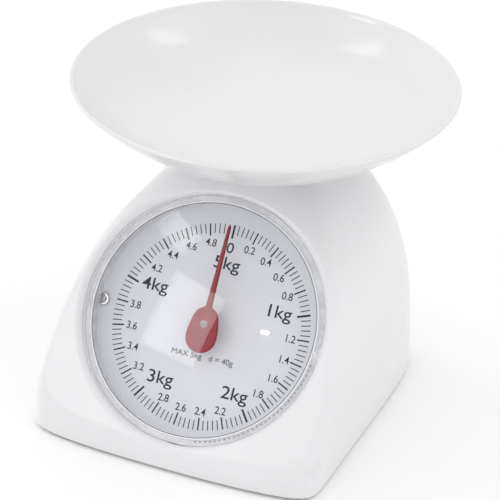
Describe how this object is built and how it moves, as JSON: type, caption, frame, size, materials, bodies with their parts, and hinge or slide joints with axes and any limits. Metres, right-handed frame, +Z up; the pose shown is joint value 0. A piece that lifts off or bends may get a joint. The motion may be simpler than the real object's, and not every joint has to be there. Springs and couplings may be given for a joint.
{
  "type": "mechanical kitchen scale",
  "caption": "White mechanical kitchen scale: rounded wedge housing with a sloping round dial under a domed lens, red pointer and a shallow lift-off bowl on top.",
  "frame": {"origin": "middle of the bounding box at the surface the feet stand on", "axes": "+Z up, the dial faces -Y, +X is to the right seen from the front"},
  "size_m": [0.21, 0.226, 0.1792],
  "materials": {
    "housing_white": "smooth glossy white moulding, very slightly cool",
    "bowl_white": "smooth semi-gloss white moulding",
    "foot_rubber": "matt grey rubber",
    "zinc_screw": "bright zinc plate with turning marks on the heads",
    "dial_card": "smooth pale blue-white card, printed in dark navy",
    "clear_lens": "clear moulded acrylic, polished",
    "pointer_red": "satin crimson moulding",
    "arbor_brass": "turned and cut brass",
    "pressed_steel": "pressed galvanised sheet",
    "pin_steel": "ground steel pin",
    "spring_steel": "drawn spring wire, lightly oiled",
    "carriage_nylon": "natural nylon moulding"
  },
  "bodies": {
    "housing": {"body_shell": "housing_white", "base_plate": "housing_white", "foot_front_left": "foot_rubber", "foot_rear_left": "foot_rubber", "foot_front_right": "foot_rubber", "foot_rear_right": "foot_rubber", "base_screw_front_left": "zinc_screw", "base_screw_rear_left": "zinc_screw", "base_screw_front_right": "zinc_screw", "base_screw_rear_right": "zinc_screw", "dial_plate": "dial_card", "dial_lens": "clear_lens", "dial_screw_left": "zinc_screw", "dial_screw_right": "zinc_screw", "movement_bracket": "pressed_steel", "front_bush": "arbor_brass", "rear_bush": "arbor_brass", "upper_frame_pin": "pin_steel", "lower_frame_pin": "pin_steel", "spring_left": "spring_steel", "spring_right": "spring_steel", "main_frame": "pressed_steel", "frame_screw_left": "zinc_screw", "frame_screw_right": "zinc_screw"},
    "load_carrier": {"carriage": "carriage_nylon", "platform": "housing_white", "platform_screw": "zinc_screw", "rack": "pressed_steel", "rack_screw": "zinc_screw", "upper_carriage_pin": "pin_steel", "lower_carriage_pin": "pin_steel"},
    "bowl_body": {"bowl": "bowl_white"},
    "pointer_spindle": {"pointer": "pointer_red", "pinion_arbor": "arbor_brass"},
    "upper_link_arm": {"upper_link": "pressed_steel"},
    "lower_link_arm": {"lower_link": "pressed_steel"},
    "zero_adjuster": {"zero_wheel": "housing_white", "zero_screw": "zinc_screw"},
    "seat_plate": {"spring_seat": "pressed_steel"}
  },
  "joints": [
    {"name": "platform_slide", "type": "slide", "parent": "housing", "child": "load_carrier", "axis": [0, 0, -1], "range_m": [0, 0.01], "stiffness_N_per_m": 4905, "springref_m": -0.0012, "deforming": ["spring_left", "spring_right"]},
    {"name": "pointer_spin", "type": "hinge", "parent": "housing", "child": "pointer_spindle", "pos_m": [0, -0.0553, 0.0589], "axis": [0, 0.809, -0.5878], "range_deg": [0, 360]},
    {"name": "upper_link_hinge", "type": "hinge", "parent": "housing", "child": "upper_link_arm", "pos_m": [0, 0.04062, 0.087], "axis": [1, 0, 0], "range_deg": [0, 17.5]},
    {"name": "lower_link_hinge", "type": "hinge", "parent": "housing", "child": "lower_link_arm", "pos_m": [0, 0.04062, 0.033], "axis": [1, 0, 0], "range_deg": [0, 17.5]},
    {"name": "zero_turn", "type": "hinge", "parent": "housing", "child": "zero_adjuster", "pos_m": [0, 0.0531, 0.0235], "axis": [0, 0, 1], "range_deg": [-360, 360]},
    {"name": "spring_seat_slide", "type": "slide", "parent": "housing", "child": "seat_plate", "axis": [0, 0, 1], "range_m": [-0.00035, 0.00035]},
    {"name": "bowl_lift", "type": "slide", "parent": "load_carrier", "child": "bowl_body", "axis": [0, 0, 1], "range_m": [0, 0.06]}
  ],
  "couplings": [
    {"joint": "pointer_spin", "follows": "platform_slide", "rad_per_m": 628.3},
    {"joint": "upper_link_hinge", "follows": "platform_slide", "rad_per_m": 30.303},
    {"joint": "lower_link_hinge", "follows": "platform_slide", "rad_per_m": 30.303},
    {"joint": "zero_turn", "follows": "spring_seat_slide", "rad_per_m": -17952}
  ]
}
